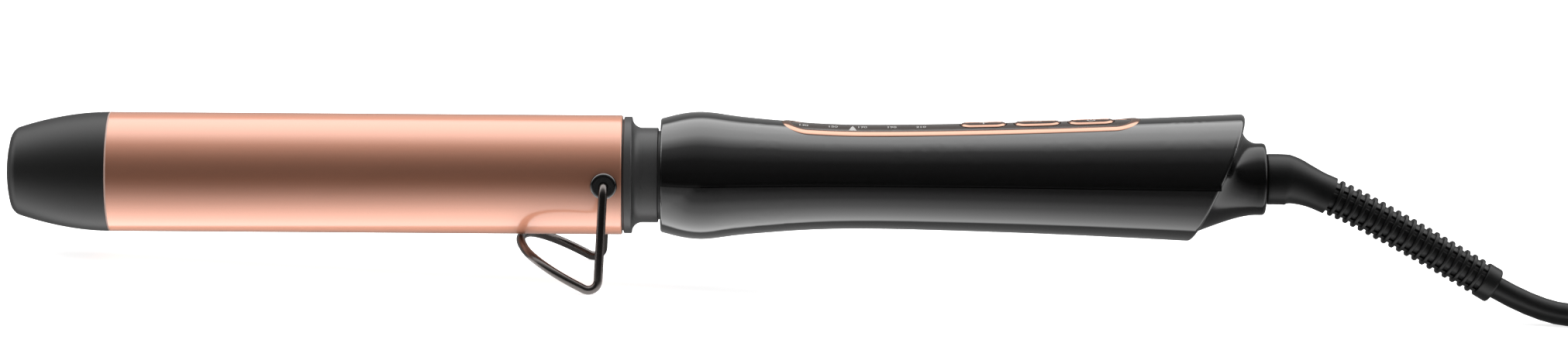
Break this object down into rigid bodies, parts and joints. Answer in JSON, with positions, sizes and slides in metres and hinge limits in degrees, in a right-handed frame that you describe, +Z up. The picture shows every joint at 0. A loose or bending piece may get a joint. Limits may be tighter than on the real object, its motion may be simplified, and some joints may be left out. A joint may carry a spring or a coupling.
{
  "type": "multi hair styler",
  "caption": "Hair styler with a plug-in round barrel, cool tip, fold-out wire stand, button panel and a mains cord on a swivel.",
  "frame": {"origin": "on the surface it stands on, under the middle of the styler's length without its cord", "axes": "+X from the cool tip to the cord, +Z up, +Y to the far side of the picture's view"},
  "size_m": [0.5404, 0.0819, 0.053],
  "materials": {
    "barrel_rose_gold": "fine brushed, anodised rose gold",
    "trim_rose_gold": "polished metallised rose gold",
    "tip_black": "fine matt, heat-proof",
    "collar_grey": "satin charcoal",
    "handle_black": "piano black",
    "panel_smoked": "smoked, printed below",
    "stand_steel": "dark plated wire",
    "bush_black": "polished",
    "heat_aluminium": "extruded",
    "heater_ceramic": "glazed",
    "contact_brass": "plated",
    "lead_insulation": "silicone sleeving",
    "insulator_brown": "moulded",
    "board_green": "solder mask",
    "component_black": "moulded",
    "lamp_white": "clear lens",
    "screw_steel": "zinc",
    "boot_black": "satin",
    "cord_black": "satin",
    "tie_black": "woven strap",
    "plug_black": "fine matt",
    "pin_plated": "nickel plated"
  },
  "bodies": {
    "handle": {"handle_upper_shell": "handle_black", "handle_lower_shell": "handle_black", "panel_bezel": "trim_rose_gold", "control_panel": "panel_smoked", "control_board": "board_green", "board_screws": "screw_steel", "tact_switches": "component_black", "indicator_leds": "lamp_white", "filter_capacitor": "component_black", "power_triac": "component_black", "microcontroller": "component_black", "head_socket": "insulator_brown", "socket_contacts": "contact_brass", "rear_cap": "handle_black", "swivel_brushes": "contact_brass", "brush_holder": "insulator_brown", "supply_leads": "lead_insulation"},
    "head": {"cool_tip": "tip_black", "tip_insulator": "insulator_brown", "barrel_tube": "barrel_rose_gold", "heat_spreader_upper": "heat_aluminium", "heat_spreader_lower": "heat_aluminium", "ptc_heater": "heater_ceramic", "thermal_fuse": "contact_brass", "thermistor": "heater_ceramic", "heater_leads": "lead_insulation", "barrel_collar": "collar_grey", "contact_block": "insulator_brown", "contact_pins": "contact_brass", "stand_bush_near": "bush_black", "stand_bush_far": "bush_black"},
    "stand": {"stand_wire": "stand_steel", "stand_clips": "screw_steel"},
    "minus_body": {"minus_button": "trim_rose_gold"},
    "plus_body": {"plus_button": "trim_rose_gold"},
    "power_body": {"power_button": "trim_rose_gold"},
    "cord": {"swivel_spool": "insulator_brown", "swivel_rings": "contact_brass", "cord_boot": "boot_black", "mains_cord": "cord_black", "cord_coil": "cord_black", "cord_tie": "tie_black", "plug_body": "plug_black", "plug_pins": "pin_plated"}
  },
  "joints": [
    {"name": "head_pull", "type": "slide", "parent": "handle", "child": "head", "axis": [-0.999, 0, -0.0436], "range_m": [0, 0.036]},
    {"name": "stand_swing", "type": "hinge", "parent": "head", "child": "stand", "pos_m": [-0.04158, 0, 0.02822], "axis": [0, -1, 0], "range_deg": [0, 100]},
    {"name": "cord_swivel", "type": "hinge", "parent": "handle", "child": "cord", "pos_m": [0.13515, 0, 0.03594], "axis": [0.999, 0, 0.0436], "continuous": true},
    {"name": "minus_press", "type": "slide", "parent": "handle", "child": "minus_body", "axis": [0.0436, 0, -0.999], "range_m": [0, 0.0005], "stiffness_N_per_m": 2000, "springref_m": -0.0003},
    {"name": "plus_press", "type": "slide", "parent": "handle", "child": "plus_body", "axis": [0.0436, 0, -0.999], "range_m": [0, 0.0005], "stiffness_N_per_m": 2000, "springref_m": -0.0003},
    {"name": "power_press", "type": "slide", "parent": "handle", "child": "power_body", "axis": [0.0436, 0, -0.999], "range_m": [0, 0.0005], "stiffness_N_per_m": 2000, "springref_m": -0.0003}
  ]
}
